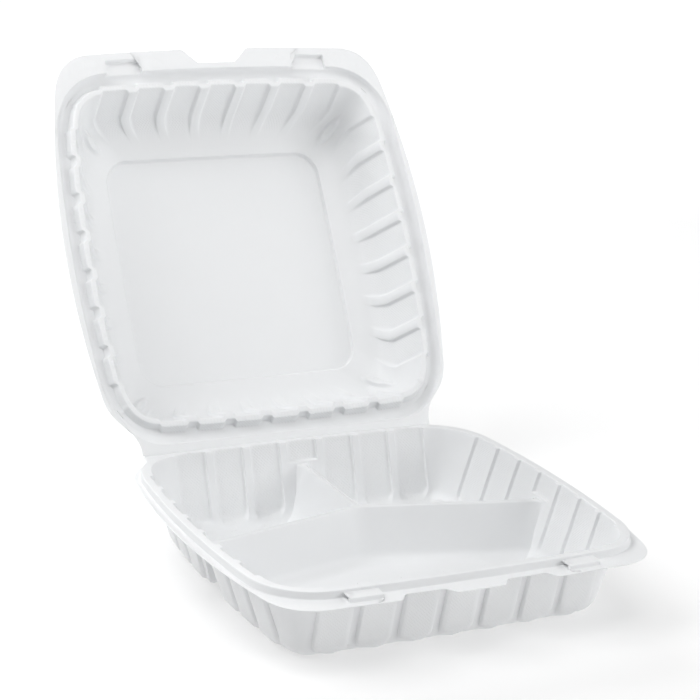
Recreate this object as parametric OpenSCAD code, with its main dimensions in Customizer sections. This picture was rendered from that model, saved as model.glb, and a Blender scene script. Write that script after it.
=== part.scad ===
// Three-compartment takeaway clamshell, thermoformed from one plastic sheet.
// The origin is the middle of the foot, +Z is up, the living hinge is at the back (+Y)
// and the latch tabs are at the front (-Y). Lengths are in millimetres.

/* [Sheet] */
// Thickness of the base
base_t = 0.9; // [0.6:0.05:1.1]
// Thickness of the lid, which is drawn thinner than the base
lid_t = 0.5; // [0.35:0.05:0.6]

/* [Mouth of the base] */
// Width of the mouth between opposite flute faces
mouth_w = 209; // [200:1:220]
// Distance from the middle to the front of the mouth
mouth_front = 107.2; // [102:0.2:114]
// Distance from the middle to the back of the mouth
mouth_back = 109.2; // [104:0.2:116]
// How far the side walls bow in towards the corners
side_bow = 7; // [3:0.5:9]
// How far the front and back walls bow in towards the corners
front_bow = 3.5; // [1:0.5:5]

/* [Rim and flange] */
// Height of the flange above the foot
flange_h = 38.5; // [34:0.5:50]
// Rise of the rim above the flange
rim_h = 4; // [3.4:0.2:6]
// Width of the flat land on top of the rim
land_w = 3.8; // [3:0.2:6]
// Outward spread of the skirt below the land
skirt_run = 1.8; // [1:0.2:3]
// Width of the flange at the sides
flange_side = 3.9; // [3:0.1:8]
// Width of the flange at the front
flange_front = 10.9; // [9:0.1:16]
// Inward bow of the flange edge at the sides
flange_bow = 10.7; // [6:0.1:12]
// Radius of the front corners of the flange
flange_r = 23; // [15:1:28]
// Width of the centre lip between the two thumb recesses
lip_w = 24.2; // [16:0.2:30]
// Sideways shift of the centre lip
lip_x = -1.2; // [-3:0.1:3]
// Width of each thumb recess
recess_w = 30.8; // [20:0.2:32]
// Depth of the thumb recesses
recess_d = 6.3; // [2:0.1:8]

/* [Hinge] */
// Distance from the skirt to the hinge line
hinge_reach = 6.95; // [6:0.05:12]
// Length of the hinge line
hinge_w = 180; // [150:1:190]
// Gap between each half and the hinge line
hinge_gap = 0.2; // [0.15:0.01:0.3]
// How far the lid stands open from closed
lid_open = 121.5; // [90:0.5:170]

/* [Flutes] */
// Spacing of the flutes at the front and back
flute_pitch = 22.6; // [21.6:0.1:23.4]
// Spacing of the flutes at the sides
side_pitch = 23.1; // [22:0.1:23.8]
// Width of a flute face in the base
flute_w = 17; // [14:0.1:18]
// Width of the sloping flank of a flute in the base
flute_run = 1.3; // [0.8:0.1:1.6]
// Depth of the flutes
flute_d = 2; // [1:0.1:2.6]
// Width of a flute face in the lid
lid_flute_w = 14; // [12:0.1:15]
// Width of the sloping flank of a flute in the lid
lid_flute_run = 2; // [1:0.1:2.2]

/* [Compartments] */
// Draft of the walls and dividers in degrees
draft = 18; // [10:0.5:20]
// Radius between the walls and the floor
floor_r = 9; // [5:0.5:12]
// Depth of the divider tops below the flange
ridge_drop = 8.5; // [6:0.5:14]
// Width of the divider tops
ridge_w = 2.6; // [2.2:0.1:4]
// Height of the crown along the divider tops
ridge_crown = 0.5; // [0:0.1:1]
// Distance of the divider junction behind the middle
junction_y = 26; // [10:1:36]
// Rounding of the compartment corners at the junction
junction_r = 6; // [3:0.5:9]
// Length over which a divider widens to its wall
flare_l = 12; // [8:0.5:16]
// Height of the ledge below the short flutes over the dividers
ledge_up = 1.4; // [0.8:0.1:3]

/* [Latch tabs] */
// Distance of the latch tabs from the middle
tab_x = 59; // [56:0.5:62]
// Width of a latch tab
tab_w = 18; // [12:0.5:20]
// Reach of a latch tab out from the skirt
tab_out = 7.5; // [4:0.1:8.5]
// Height of a latch tab above the flange
tab_h = 2.4; // [1.6:0.1:2.8]
// Width of the sloping ends of a tab and its pocket
tab_run = 1.4; // [0.8:0.1:2]
// Clearance between a latch tab and its pocket in the lid
tab_gap = 0.9; // [0.5:0.1:1.4]

/* [Lid] */
// Clearance of the lid over the skirt of the base
cover_gap = 0.6; // [0.4:0.1:1.2]
// Clearance above the rim inside the lid channel
channel_gap = 2.2; // [0.8:0.1:4]
// Inward lean of the outer channel wall
channel_run = 0.8; // [0.2:0.1:1.2]
// Clearance of the lid ledge inside the mouth
plug_gap = 0.6; // [0.5:0.05:0.9]
// Height of the lid ledge above the lid flange
plug_up = 0.6; // [0.4:0.1:1.5]
// Width of the lid ledge
plug_w = 3.2; // [2:0.1:5]
// Outward lean of the short wall between ledge and channel
plug_run = 1.0; // [0.4:0.1:1.1]
// Overhang of the lid flange at the sides
lid_side = 0.7; // [0:0.1:2]
// Overhang of the lid flange at the front
lid_front = 2.5; // [0:0.1:4]
// Depth of the notch in the front of the lid flange
notch_d = 9; // [3:0.1:9.4]
// Width of the notch at its bottom
notch_w = 23.8; // [16:0.2:28]
// Width of each sloping side of the notch
notch_run = 8.9; // [4:0.1:10]
// Depth of the dome inside the lid
dome_h = 44.7; // [36:0.5:46]
// Height at which the dome wall starts to turn inwards
shoulder_h = 24; // [18:0.5:28]
// Draft of the dome wall in degrees
dome_draft = 17; // [10:0.5:20]
// Width of the top panel
panel_w = 141; // [120:1:150]
// Depth of the top panel from front to back
panel_d = 145; // [120:1:152]
// Height of the step round the top panel
panel_step = 0.8; // [0.4:0.1:2]

/* [Hidden] */
sheet_color = "white";

// Seven flutes of four points a side, then the points of one corner
flutes = 7;
mid_flute = 3;
side_n = flutes * 4;
corner_n = 4;
step_n = side_n + corner_n;
ring_n = 4 * step_n;
// Distance from the middle of a wall at which its bow is measured
bow_ref = 105;
// Pull of a corner curve towards its tangents
corner_pull = 0.52;

// Reach of the flutes either side of the middle of a wall
flute_half = flute_w / 2 + flute_run;
flute_end = mid_flute * flute_pitch + flute_half;
side_stretch = side_pitch / flute_pitch;

// Heights from the foot
rim_z = flange_h + rim_h;
ridge_z = flange_h - ridge_drop;
floor_z = base_t;
tab_z = flange_h + tab_h;
// Height of the narrow slope behind the top of a latch tab
tab_brow = 0.15;

// Outward offsets from the mouth of the base
skirt_o = land_w + skirt_run;
ridge_o = -(rim_z - ridge_z) * tan(draft);
hinge_y = mouth_back + skirt_o + hinge_reach;
hinge_z = flange_h + hinge_gap;

// Outline: reach, bow, first and last flute positions of the front, right, back and left
mouth = [
    [mouth_front, mouth_w / 2, mouth_back, mouth_w / 2],
    [front_bow, side_bow, front_bow, side_bow],
    -flute_end * [1, side_stretch, 1, side_stretch],
    flute_end * [1, side_stretch, 1, side_stretch]
];
function grow(o, d, pull = 1) = [o[0] + d * [1, 1, 1, 1], o[1], o[2] * pull, o[3] * pull];
function mix(a, b, f) = a * (1 - f) + b * f;

// Place along a side and distance out from the middle, as a point in plan
function plan(side, s, out) =
    side == 0 ? [s, -out] : side == 1 ? [out, s] : side == 2 ? [-s, out] : [-out, -s];
function along(side) = plan(side, 1, 0);
function outward(side) = plan(side, 0, 1);
function reach_at(o, side, s) = o[0][side] - o[1][side] * pow(s / bow_ref, 2);
function slope_at(o, side, s) = along(side) - outward(side) * 2 * o[1][side] * s / pow(bow_ref, 2);

// Flute points run from -1 to 1 along a side; the outer two of each four lie between flutes
function flute_q(i, w, run) =
    let (p = i % 4, at = (floor(i / 4) - mid_flute) * flute_pitch, half = w / 2)
    (at + [-half - run, -half, half, half + run][p]) / (mid_flute * flute_pitch + half + run);
function is_rib(i) = i % 4 == 0 || i % 4 == 3;
base_q = [for (i = [0:side_n - 1]) flute_q(i, flute_w, flute_run)];
lid_q = [for (i = [0:side_n - 1]) flute_q(i, lid_flute_w, lid_flute_run)];

// One side of a ring: pairs of place and reach
function wall_side(o, side, q, dep, plain_mid) =
    [for (i = [0:side_n - 1]) let (
        s = mix(o[2][side], o[3][side], (q[i] + 1) / 2),
        plain = plain_mid && side > 0 && floor(i / 4) == mid_flute,
        rib = is_rib(i) || plain
    ) [s, reach_at(o, side, s) - (rib ? dep : 0)]];
// The front of a ring whose points are given as place and extra reach
function front_side(o, list) = [for (p = list) [p[0], reach_at(o, 0, p[0]) + p[1]]];

// Points of a corner on a cubic curve from one side to the next
function corner(p1, t1, p2, t2) = let (
    a = p1 + t1 * corner_pull * abs((p2 - p1) * t1) / (t1 * t1),
    b = p2 - t2 * corner_pull * abs((p2 - p1) * t2) / (t2 * t2)
) [for (i = [1:corner_n]) let (f = i / (corner_n + 1), g = 1 - f)
    p1 * pow(g, 3) + a * 3 * g * g * f + b * 3 * g * f * f + p2 * pow(f, 3)];

// A whole ring; an ear turns the back corners out to the ends of the hinge line
function ring(o, z, q = base_q, dep = 0, plain_mid = false, front = [], ear = false) = let (
    sides = [for (side = [0:3])
        side == 0 && len(front) > 0 ? front_side(o, front) : wall_side(o, side, q, dep, plain_mid)]
) [for (side = [0:3]) let (
        next = (side + 1) % 4,
        last = sides[side][side_n - 1],
        first = sides[next][0],
        t1 = ear && side == 2 ? -outward(2) : slope_at(o, side, last[0]),
        t2 = ear && next == 2 ? outward(2) : slope_at(o, next, first[0])
    ) each concat(
        [for (p = sides[side]) concat(plan(side, p[0], p[1]), z)],
        [for (p = corner(plan(side, last[0], last[1]), t1, plan(next, first[0], first[1]), t2))
            concat(p, z)])];

// Shift of a section point onto the other face of a sheet of thickness t
function seg_normal(a, b) = let (d = b - a, l = norm(d)) [-d[1], d[0]] / l;
function face_shift(sec, i, t) = let (
    n1 = i > 0 ? seg_normal(sec[i - 1], sec[i]) : seg_normal(sec[0], sec[1]),
    n2 = i < len(sec) - 1 ? seg_normal(sec[i], sec[i + 1]) : n1
) (n1 + n2) * t / (1 + n1 * n2);

// Triangles, counter-clockwise from above, between lists of point numbers
function band(a, b) = [for (j = [0:len(a) - 1]) let (k = (j + 1) % len(a))
    each [[a[j], a[k], b[k]], [a[j], b[k], b[j]]]];
function strip(a, b) = [for (j = [0:len(a) - 2])
    each [[a[j], a[j + 1], b[j + 1]], [a[j], b[j + 1], b[j]]]];
function fan(a, c) = [for (j = [0:len(a) - 1]) [a[j], a[(j + 1) % len(a)], c]];
function count(from, n) = [for (j = [0:n - 1]) from + j];
function flip(f) = [for (t = f) [t[2], t[1], t[0]]];
function bump(f, n) = [for (t = f) t + [n, n, n]];

// A closed sheet from its two faces, which share one list of triangles; ring 0 is its edge
module sheet(face, back, tris) {
    n = len(face);
    edge = flip(band(count(0, ring_n), count(n, ring_n)));
    polyhedron(concat(face, back), concat(flip(tris), bump(tris, n), flip(edge)), convexity = 10);
}

// Front edge of the base: corners, latch tabs, thumb recesses and centre lip
tab_s = [for (f = [-1 / 2 - tab_run / tab_w, -1 / 2, -1 / 6, 1 / 6, 1 / 2, 1 / 2 + tab_run / tab_w])
    f * tab_w];
// Width of the sloping ends of a thumb recess
recess_run = 5.6;
recess_s = [0, recess_run, recess_w / 2, recess_w - recess_run, recess_w];
// The straight front edge runs on past the tabs to the start of the corners
front_past = 15;
front_end = tab_x + tab_w / 2 + front_past;
front_out = tab_x + tab_w / 2 + front_past / 2;
lip_l = lip_x - lip_w / 2;
lip_r = lip_x + lip_w / 2;
// Place, whether it is on a tab and whether it is inside a recess
base_front = concat(
    [[-front_end, 0, 0], [-front_out, 0, 0]],
    [for (i = [0:5]) [-tab_x + tab_s[i], i > 0 && i < 5 ? 1 : 0, 0]],
    [for (i = [0:4]) [lip_l - recess_w + recess_s[i], 0, i > 0 && i < 4 ? 1 : 0]],
    [[lip_x - lip_w / 6, 0, 0], [lip_x + lip_w / 6, 0, 0]],
    [for (i = [0:4]) [lip_r + recess_s[i], 0, i > 0 && i < 4 ? 1 : 0]],
    [for (i = [0:5]) [tab_x + tab_s[i], i > 0 && i < 5 ? 1 : 0, 0]],
    [[front_out, 0, 0], [front_end, 0, 0]]
);
function tabs(out) = [for (p = base_front) [p[0], p[1] * out]];
recesses = [for (p = base_front) [p[0], -p[2] * recess_d]];

// Edge of the flange, shared by base and lid apart from its overhang. The side edges turn
// out into the ears of the hinge this far before the back
ear_len = 36;
function flange_outline(side_extra, front_extra) = let (
    half = mouth_w / 2 + skirt_o + flange_side + side_extra,
    front = mouth_front + skirt_o + flange_front + front_extra,
    back = hinge_y - hinge_gap
) [
    [front, half, back, half],
    [front_bow, flange_bow, 0, flange_bow],
    [-(half - flange_bow - flange_r), -(front - front_bow - flange_r), -hinge_w / 2, -(back - ear_len)],
    [half - flange_bow - flange_r, back - ear_len, hinge_w / 2, front - front_bow - flange_r]
];

// Section of a compartment below the divider level: inset and height down to the floor
pit_corner = (ridge_z - floor_z) * tan(draft);
pit_tan = floor_r * tan((90 - draft) / 2);
pit_sec = [
    [0, ridge_z],
    for (i = [0:2]) let (a = draft + (90 - draft) * i / 2)
        [pit_corner + pit_tan - floor_r * cos(a), floor_z + floor_r * (1 - sin(a))]
];
// The flutes fade out towards the floor, whose corners are pulled in a little
pit_flute = [1, 1, 0.8, 0] * flute_d;
pit_n = len(pit_sec);
floor_pull = 0.95;
pit_out = [for (p = pit_sec) [-p[0], p[1]], [-pit_sec[pit_n - 1][0] - floor_r, floor_z]];

// Section of the rim, from the flange edge in to the divider level
// The bow of the skirt and the land is a little less than that of the mouth
rim_pull = 0.95;
rim_sec = [
    [skirt_o + flange_side, flange_h],
    [skirt_o, flange_h],
    [skirt_o - skirt_run * tab_h / rim_h, tab_z],
    [skirt_o - skirt_run * (tab_h + tab_brow) / rim_h, tab_z + tab_brow],
    [land_w, rim_z],
    [0, rim_z],
    [ridge_o, ridge_z],
    [ridge_o - pit_sec[1][0], pit_sec[1][1]]
];

// Rim rings of one face; u is 0 on the upper face and 1 on the lower
function rim_shift(r, u) = u * face_shift(rim_sec, r, base_t);
function rim_rings(u) = [
    ring(flange_outline(0, 0), flange_h - u * base_t, front = recesses, ear = true),
    for (r = [1:4]) let (d = rim_shift(r, u), on_tab = r < 3 ? tab_out : 0,
        in_tab = r == 2 || r == 3 ? u * base_t : 0)
        tab_ring(ring(grow(mouth, rim_sec[r][0] + d[0], rim_pull), rim_sec[r][1] + d[1],
            front = r < 4 ? tabs(on_tab) : []), in_tab, d),
    for (r = [5:6]) let (d = rim_shift(r, u))
        ring(grow(mouth, rim_sec[r][0] + d[0]), rim_sec[r][1] + d[1], dep = flute_d,
            plain_mid = r == 6)
];
// On a latch tab the lower face lies a full thickness in and down
function tab_ring(pts, in_tab, d) = [for (j = [0:len(pts) - 1])
    j < side_n && in_tab > 0 && base_front[j][1] == 1
        ? [pts[j][0], pts[j][1] + in_tab + d[0], pts[j][2] - in_tab - d[1]] : pts[j]];
rim_n = 7;

// Dividers: arm 1 runs right, arm 2 back and arm 3 left from the junction
junction = [0, junction_y];
function arm_wall(m) = plan(m, 0, mouth[0][m] + ridge_o - flute_d);
function arm_dir(m) = let (d = arm_wall(m) - junction) d / norm(d);
function arm_len(m) = norm(arm_wall(m) - junction);
function arm_lean(m) = arm_dir(m) * outward(m);
function turn(v) = [-v[1], v[0]];
// Places of the stations of an arm, from 0 at its wall to 1 at the junction
arm_f = [0.03, 0.07, 0.12, 0.38, 0.68];
arm_n = len(arm_f);
// Half angle of the compartment between arms a and b
function half_angle(a, b) = acos(arm_dir(a) * arm_dir(b)) / 2;

// Inset, height and half width of a divider at level k on face u
function pit_shift(k, u) = k == 0
    ? u * base_t * [tan((90 - draft) / 2), -1]
    : u * face_shift(pit_out, k, base_t);
function inset(k, u) = pit_sec[k][0] - pit_shift(k, u)[0];
function level_z(k, u) = pit_sec[k][1] + pit_shift(k, u)[1];
function arm_w(k, u) = ridge_w / 2 + inset(k, u);
// Half width of a divider where it meets its wall; above the floor it spreads with the inset
wall_spread = 0.45;
wall_half = [for (k = [0:pit_n - 1]) k < pit_n - 1
    ? flute_half + wall_spread * pit_sec[k][0]
    : max(flute_half, ridge_w / 2 + pit_sec[k][0])];
function wall_w(k, u) = wall_half[k] - (k == 0 ? 0 : pit_shift(k, u)[0]);

// Point on an edge of arm m; hand is 1 on its counter-clockwise side, -1 on the other
function edge_end(a, b, k, u) = arm_w(k, u) / tan(half_angle(a, b)) + junction_r;
function edge_pt(m, hand, r, w, z) =
    concat(junction + arm_dir(m) * r + turn(arm_dir(m)) * hand * w, z);
function station(m, hand, q, k, u) = let (
    b = hand > 0 ? m % 3 + 1 : m,
    a = hand > 0 ? m : (m + 1) % 3 + 1,
    reach = arm_len(m) - max(0, inset(k, u)) / arm_lean(m),
    end = edge_end(a, b, k, u),
    r = end + (1 - arm_f[q]) * (reach - end),
    close = max(0, 1 - (reach - r) / flare_l),
    w = arm_w(k, u) + max(0, wall_w(k, u) - arm_w(k, u)) * close * close
) edge_pt(m, hand, r, w, level_z(k, u));
// The three points that round a compartment at the junction, from arm b to arm a
function nook(a, b, k, u) = let (
    w = arm_w(k, u),
    z = level_z(k, u),
    end = edge_end(a, b, k, u),
    x = edge_pt(a, 1, end - junction_r, w, z),
    p = edge_pt(b, -1, end, w, z),
    s = edge_pt(a, 1, end, w, z)
) [p, (p + 2 * x + s) / 4, s];

// Compartments lie between arm a and the next arm b; their wall runs from arm a to arm b
pits = [[3, 1], [1, 2], [2, 3]];
mid_i = mid_flute * 4;
function wall_ids(p) = let (
    from = p[0] * step_n + mid_i + 3,
    to = (p[1] < p[0] ? p[1] + 4 : p[1]) * step_n + mid_i
) [for (j = [from:to]) j % ring_n];

// Wall points at level k, squeezed along their side to make room for the widening dividers
function pit_wall(k, u) = let (
    o = grow(mouth, ridge_o - inset(k, u), k < pit_n - 1 ? 1 : floor_pull),
    z = level_z(k, u),
    pts = ring(o, z, dep = pit_flute[k])
) [for (j = [0:ring_n - 1]) let (
    side = floor(j / step_n),
    i = j % step_n,
    half = o[3][side],
    s = mix(o[2][side], half, (base_q[min(i, side_n - 1)] + 1) / 2),
    foot = flute_half * half / flute_end,
    w = wall_w(k, u),
    at = sign(s) * (w + (abs(s) - foot) * (half - w) / (half - foot)),
    dep = is_rib(i) ? pit_flute[k] : 0
) side > 0 && i < side_n
    ? concat(plan(side, at, reach_at(o, side, at) - dep), z) : pts[j]];

// Point numbers of the base face
arm_from = rim_n * ring_n;
function arm_id(m, q, e) = arm_from + ((m - 1) * arm_n + q) * 3 + e;
nook_from = arm_from + 9 * arm_n;
function nook_id(c, i) = nook_from + c * 3 + i;
hub_id = nook_from + 9;
brow_from = hub_id + 1;
pit_from = brow_from + 6;
function outline_ids(c) = let (p = pits[c]) concat(
    [for (j = wall_ids(p)) 6 * ring_n + j],
    [for (q = [0:arm_n - 1]) arm_id(p[1], q, 0)],
    [for (i = [0:2]) nook_id(c, i)],
    [for (q = [arm_n - 1:-1:0]) arm_id(p[0], q, 2)]);
pit_size = [for (c = [0:2]) len(outline_ids(c))];
function sum_to(v, n) = n == 0 ? 0 : v[n - 1] + sum_to(v, n - 1);
function level_from(c, k) = pit_from + sum_to(pit_size, c) * (pit_n - 1) + c + (k - 1) * pit_size[c];
function level_ids(c, k) = k == 0 ? outline_ids(c) : count(level_from(c, k), pit_size[c]);
function floor_id(c) = level_from(c, pit_n);

function pit_outline(c, k, u, wall) = let (p = pits[c]) concat(
    [for (j = wall_ids(p)) wall[j]],
    [for (q = [0:arm_n - 1]) station(p[1], -1, q, k, u)],
    nook(p[0], p[1], k, u),
    [for (q = [arm_n - 1:-1:0]) station(p[0], 1, q, k, u)]);
function mean(v) = let (n = len(v)) [for (i = [0:2]) sum_to([for (p = v) p[i]], n) / n];

function base_face(u) = let (
    walls = [for (k = [0:pit_n - 1]) pit_wall(k, u)],
    crown = ridge_crown,
    rims = rim_rings(u),
    brow_z = ridge_z + ledge_up - u * base_t
) concat(
    [for (r = rims) each r],
    [for (m = [1:3]) for (q = [0:arm_n - 1]) let (
        p = station(m, -1, q, 0, u), s = station(m, 1, q, 0, u)
    ) each [p, (p + s) / 2 + [0, 0, crown], s]],
    [for (p = pits) each nook(p[0], p[1], 0, u)],
    [concat(junction, level_z(0, u) + crown)],
    [for (m = [1:3]) for (i = [1, 2]) let (
        top = rims[5][m * step_n + mid_i + i],
        low = rims[6][m * step_n + mid_i + i],
        f = (top[2] - brow_z) / (top[2] - low[2]),
        out = outward(m) * flute_d
    ) [mix(top[0], low[0] + out[0], f), mix(top[1], low[1] + out[1], f), brow_z]],
    [for (c = [0:2]) let (
        levels = [for (k = [1:pit_n - 1]) pit_outline(c, k, u, walls[k])]
    ) each concat([for (l = levels) each l], [mean(levels[pit_n - 2])])]
);

// Wall between land and divider level; the short flutes over the dividers end in a ledge
function brow_tris(m) = let (
    a = [for (i = [0:3]) 5 * ring_n + m * step_n + mid_i + i],
    b = [for (i = [0:3]) 6 * ring_n + m * step_n + mid_i + i],
    c = [brow_from + (m - 1) * 2, brow_from + (m - 1) * 2 + 1]
) concat(
    strip(a, [b[0], c[0], c[1], b[3]]),
    [[b[0], c[0], b[1]]],
    strip(c, [b[1], b[2]]),
    [[b[2], c[1], b[3]]]);
function wall_tris() = [for (j = [0:ring_n - 1]) let (
    side = floor(j / step_n),
    i = j % step_n,
    k = (j + 1) % ring_n
) if (side == 0 || i < mid_i || i > mid_i + 2)
    each [[5 * ring_n + j, 5 * ring_n + k, 6 * ring_n + k],
        [5 * ring_n + j, 6 * ring_n + k, 6 * ring_n + j]]];
// The rounded top of an arm, from its wall to the junction
function arm_tris(m) = let (
    b = [for (i = [0:3]) 6 * ring_n + m * step_n + mid_i + i],
    a = [for (e = [0:2]) arm_id(m, 0, e)],
    cw = concat([for (q = [0:arm_n - 1]) arm_id(m, q, 0)], nook_id(m - 1, 0)),
    mid = concat([for (q = [0:arm_n - 1]) arm_id(m, q, 1)], hub_id),
    ccw = concat([for (q = [0:arm_n - 1]) arm_id(m, q, 2)], nook_id(m % 3, 2))
) concat(
    [[b[0], b[1], a[0]], [b[1], a[1], a[0]], [b[1], b[2], a[1]], [b[2], a[2], a[1]],
        [b[2], b[3], a[2]]],
    strip(mid, cw),
    strip(ccw, mid));
function nook_tris(c) = [for (i = [0:1]) [nook_id(c, i), hub_id, nook_id(c, i + 1)]];
base_tris = concat(
    [for (r = [0:4]) each band(count(r * ring_n, ring_n), count((r + 1) * ring_n, ring_n))],
    wall_tris(),
    [for (m = [1:3]) each brow_tris(m)],
    [for (m = [1:3]) each arm_tris(m)],
    [for (c = [0:2]) each nook_tris(c)],
    [for (c = [0:2]) for (k = [0:pit_n - 2]) each band(level_ids(c, k), level_ids(c, k + 1))],
    [for (c = [0:2]) each fan(level_ids(c, pit_n - 1), floor_id(c))]
);

// Front edge of the lid: corners, pockets for the latch tabs and the notch
pocket_s = [for (s = tab_s) s + sign(s) * tab_gap];
notch_l = lip_x - notch_w / 2;
notch_r = lip_x + notch_w / 2;
pocket_in = tab_x - tab_w / 2 - tab_run - tab_gap;
function spread(a, b, n) = [for (i = [1:n]) [mix(a, b, i / (n + 1)), 0, 0]];
// Place, whether it is on a pocket and whether it is inside the notch
lid_front_pts = concat(
    [[-front_end, 0, 0]],
    [for (i = [0:5]) [-tab_x + pocket_s[i], i > 0 && i < 5 ? 1 : 0, 0]],
    spread(-pocket_in, notch_l - notch_run, 2),
    [[notch_l - notch_run, 0, 0]],
    [for (i = [0:7]) [mix(notch_l, notch_r, i / 7), 0, 1]],
    [[notch_r + notch_run, 0, 0]],
    spread(notch_r + notch_run, pocket_in, 2),
    [for (i = [0:5]) [tab_x + pocket_s[i], i > 0 && i < 5 ? 1 : 0, 0]],
    [[front_end, 0, 0]]
);
pocket_out = tab_out + tab_gap - cover_gap;

// Section of the lid when closed, from the flange edge in to the shoulder of the dome
lid_z = flange_h + 2 * hinge_gap;
channel_z = rim_z + channel_gap;
ledge_z = lid_z + plug_up;
plug_o = -(rim_z - ledge_z) * tan(draft) - plug_gap;
dome_o = plug_o - plug_w;
dome_top = lid_z + dome_h;
function dome_at(z) = dome_o - (z - ledge_z) * tan(dome_draft);
shoulder_z = lid_z + shoulder_h;
lid_sec = [
    [skirt_o + cover_gap + flange_side, lid_z],
    [skirt_o + cover_gap, lid_z],
    [skirt_o + cover_gap - channel_run, channel_z],
    [plug_o + plug_run, channel_z],
    [plug_o, ledge_z],
    [dome_o, ledge_z],
    [dome_at(lid_z + shoulder_h / 2), lid_z + shoulder_h / 2],
    [dome_at(shoulder_z), shoulder_z]
];
lid_sec_n = len(lid_sec);

// Outlines of the top panel and of the shoulder, which blends into it
panel_r = 15;
panel_run = 1.2;
panel = [
    [panel_d / 2, panel_w / 2, panel_d / 2, panel_w / 2],
    [1, 2, 1, 2],
    [-(panel_w / 2 - panel_r), -(panel_d / 2 - panel_r), -(panel_w / 2 - panel_r), -(panel_d / 2 - panel_r)],
    [panel_w / 2 - panel_r, panel_d / 2 - panel_r, panel_w / 2 - panel_r, panel_d / 2 - panel_r]
];
shoulder = grow(mouth, dome_at(shoulder_z));
// Cubic curve from the shoulder up to the panel: blend towards the panel and height.
// Its first pull follows the draft of the dome, its second leads flat into the crown
crown_z = dome_top - panel_step;
draft_pull = 0.72;
crown_pull = [0.62, 0.86];
function shoulder_curve(f) = let (
    g = 1 - f,
    run = mouth_w / 2 + dome_at(shoulder_z) - panel_w / 2,
    rise = crown_z - shoulder_z,
    up = draft_pull * rise
) [
    3 * g * g * f * up * tan(dome_draft) / run + 3 * g * f * f * crown_pull[0] + pow(f, 3),
    shoulder_z + 3 * g * g * f * up + (3 * g * f * f * crown_pull[1] + pow(f, 3)) * rise
];
// Places along it, depth of the flutes there and direction of the thickness, out and up
shoulder_f = [0.3, 0.58, 0.8];
shoulder_flute = [0.8, 0.25, 0] * flute_d;
shoulder_face = [[0.6, 0.8], [0.6, 0.8], [0.35, 0.93]] * lid_t;
panel_face = [0.2, 1] * lid_t;

// Rings of one face of the closed lid; u is 0 on the inner face and 1 on the outer
function lid_shift(r, u) = -u * face_shift(lid_sec, r, lid_t);
lid_ring_n = lid_sec_n + 2;
function lid_rings(u) = let (pockets = [for (p = lid_front_pts) [p[0], p[1] * pocket_out]]) [
    ring(flange_outline(lid_side, lid_front), lid_z + u * lid_t, q = lid_q,
        front = [for (p = lid_front_pts) [p[0], -p[2] * notch_d]], ear = true),
    for (r = [1:2]) let (d = lid_shift(r, u))
        ring(grow(mouth, lid_sec[r][0] + d[0], rim_pull), lid_sec[r][1] + d[1], q = lid_q,
            front = pockets),
    for (r = [3:lid_sec_n - 1]) let (d = lid_shift(r, u))
        ring(grow(mouth, lid_sec[r][0] + d[0]), lid_sec[r][1] + d[1], q = lid_q, dep = flute_d),
    for (i = [0:1]) let (c = shoulder_curve(shoulder_f[i]), d = u * shoulder_face[i])
        ring(grow(mix(shoulder, panel, c[0]), d[0]), c[1] + d[1], q = lid_q, dep = shoulder_flute[i])
];
// Above the flutes a quarter of the points is enough: four along each side and four a corner
picks = concat([for (i = [0:3]) floor(side_n * i / 3 - i / 4)], count(side_n, corner_n));
coarse_n = 4 * len(picks);
function pick(j) = floor(j / len(picks)) * step_n + picks[j % len(picks)];
function coarse(pts) = [for (j = [0:coarse_n - 1]) pts[pick(j)]];
function lid_tops(u) = let (c = shoulder_curve(shoulder_f[2]), d = u * shoulder_face[2], p = u * panel_face) [
    coarse(ring(grow(mix(shoulder, panel, c[0]), d[0]), c[1] + d[1], q = lid_q)),
    coarse(ring(grow(panel, p[0]), crown_z + p[1], q = lid_q)),
    coarse(ring(grow(panel, p[0] - panel_run), dome_top + p[1], q = lid_q))
];
top_from = lid_ring_n * ring_n;
function top_ids(i) = count(top_from + i * coarse_n, coarse_n);
function lid_face(u) = concat(
    [for (r = lid_rings(u)) each r],
    [for (r = lid_tops(u)) each r],
    [[0, 0, dome_top + u * lid_t]]
);
last_ring = (lid_ring_n - 1) * ring_n;
lid_tris = concat(
    [for (r = [0:lid_ring_n - 2]) each band(count(r * ring_n, ring_n), count((r + 1) * ring_n, ring_n))],
    [for (j = [0:coarse_n - 1]) let (
        k = (j + 1) % coarse_n,
        from = pick(j),
        to = pick(j + 1),
        half = floor((from + to) / 2)
    ) each concat(
        [for (i = [from:to - 1])
            [last_ring + i, last_ring + (i + 1) % ring_n, top_from + (i < half ? j : k)]],
        [[last_ring + half % ring_n, top_from + k, top_from + j]])],
    band(top_ids(0), top_ids(1)),
    band(top_ids(1), top_ids(2)),
    fan(top_ids(2), top_from + 3 * coarse_n)
);

module base() {
    color(sheet_color) sheet(base_face(0), base_face(1), base_tris);
}

module lid() {
    color(sheet_color)
        translate([0, hinge_y, hinge_z])
            rotate([-lid_open, 0, 0])
                translate([0, -hinge_y, -hinge_z])
                    sheet(lid_face(1), lid_face(0), lid_tris);
}

base();
lid();
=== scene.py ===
"""A three-compartment takeaway clamshell, thermoformed from matte white plastic sheet.

Sizes are worked out in millimetres, in the frame of the part: the foot stands at z = 0, the
hinge is at the back (+Y) and the latch tabs are at the front (-Y). Meshes are made in metres.
"""

from math import acos, cos, pi, radians, sin, sqrt, tan

import bmesh
import bpy
import numpy as np
from mathutils import Matrix, Vector


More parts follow.
